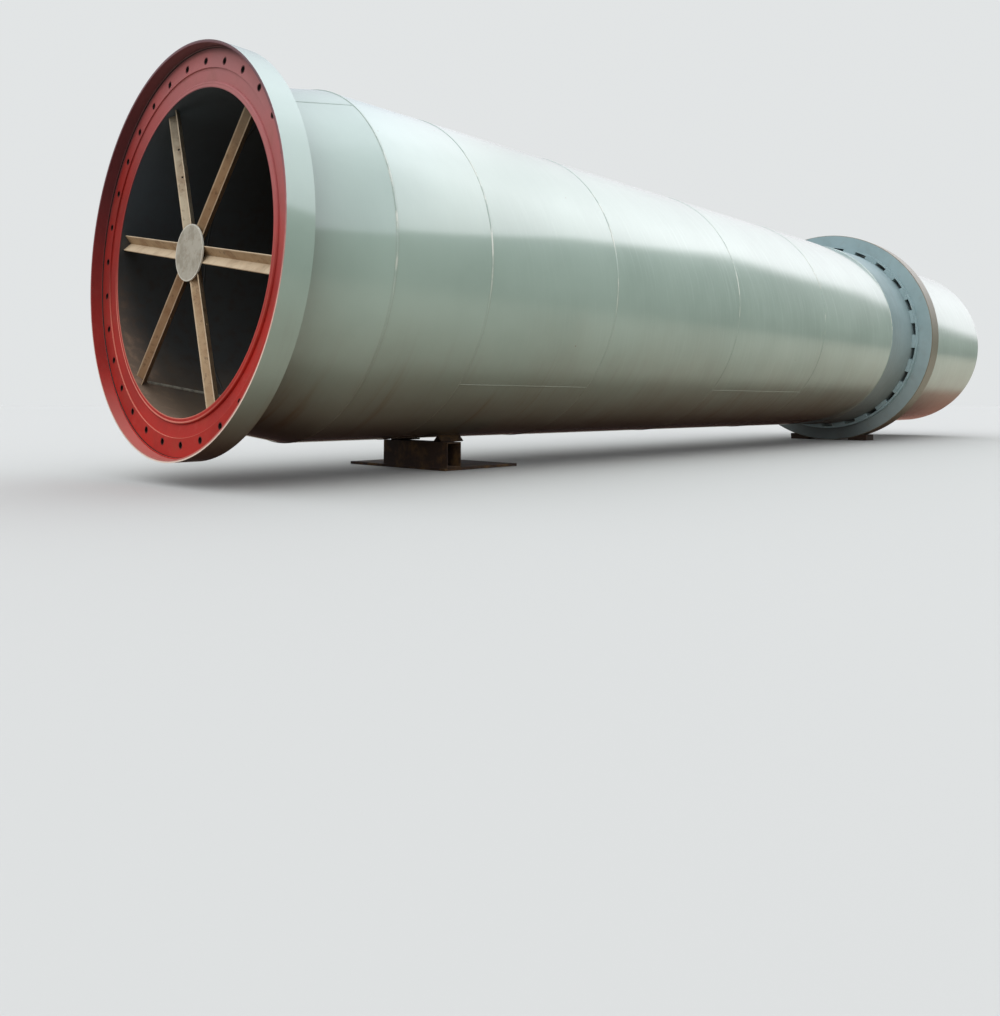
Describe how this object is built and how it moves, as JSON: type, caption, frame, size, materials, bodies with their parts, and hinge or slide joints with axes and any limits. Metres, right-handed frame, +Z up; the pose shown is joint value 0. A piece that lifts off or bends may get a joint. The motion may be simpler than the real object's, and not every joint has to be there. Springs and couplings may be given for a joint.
{
  "type": "rotary kiln shell section",
  "caption": "Long welded kiln shell section with a flanged, coned feed end, a riding ring on pads, bracing spiders inside and a saddle beam and wedges that hold it.",
  "frame": {"origin": "middle of the footprint on the floor that the supports stand on", "axes": "+X along the kiln axis from the flanged feed end to the plain tail end, +Z up"},
  "size_m": [14.35, 3.3428, 3.3432],
  "materials": {
    "shell_paint": "gloss",
    "ring_course_paint": "matte",
    "ring_steel": "matte",
    "red_primer": "satin",
    "spoke_steel": "matte",
    "hub_steel": "matte",
    "saddle_steel": "matte",
    "wedge_timber": "matte"
  },
  "bodies": {
    "root": {"shell_cone": "shell_paint", "shell_course_1": "shell_paint", "shell_course_2": "shell_paint", "shell_course_3": "shell_paint", "shell_course_4": "shell_paint", "shell_course_5": "shell_paint", "shell_tail_course": "shell_paint", "seal_sleeve": "shell_paint", "shell_ring_course": "ring_course_paint", "riding_ring": "ring_steel", "ring_pads": "ring_steel", "ring_band_front": "ring_steel", "ring_band_rear": "ring_steel", "bolt_ring": "red_primer", "dished_ring": "red_primer", "mouth_hub_plate": "hub_steel", "tail_hub_plate": "hub_steel", "mouth_spoke_1": "spoke_steel", "mouth_spoke_2": "spoke_steel", "mouth_spoke_3": "spoke_steel", "mouth_spoke_4": "spoke_steel", "mouth_spoke_5": "spoke_steel", "mouth_spoke_6": "spoke_steel", "tail_spoke_1": "spoke_steel", "tail_spoke_2": "spoke_steel", "tail_spoke_3": "spoke_steel", "tail_spoke_4": "spoke_steel", "tail_spoke_5": "spoke_steel", "tail_spoke_6": "spoke_steel", "saddle_base_plate": "saddle_steel", "saddle_channel_front": "saddle_steel", "saddle_channel_rear": "saddle_steel", "saddle_chock_left": "saddle_steel", "saddle_chock_right": "saddle_steel", "ring_wedge_left": "wedge_timber", "ring_wedge_right": "wedge_timber"}
  },
  "joints": []
}
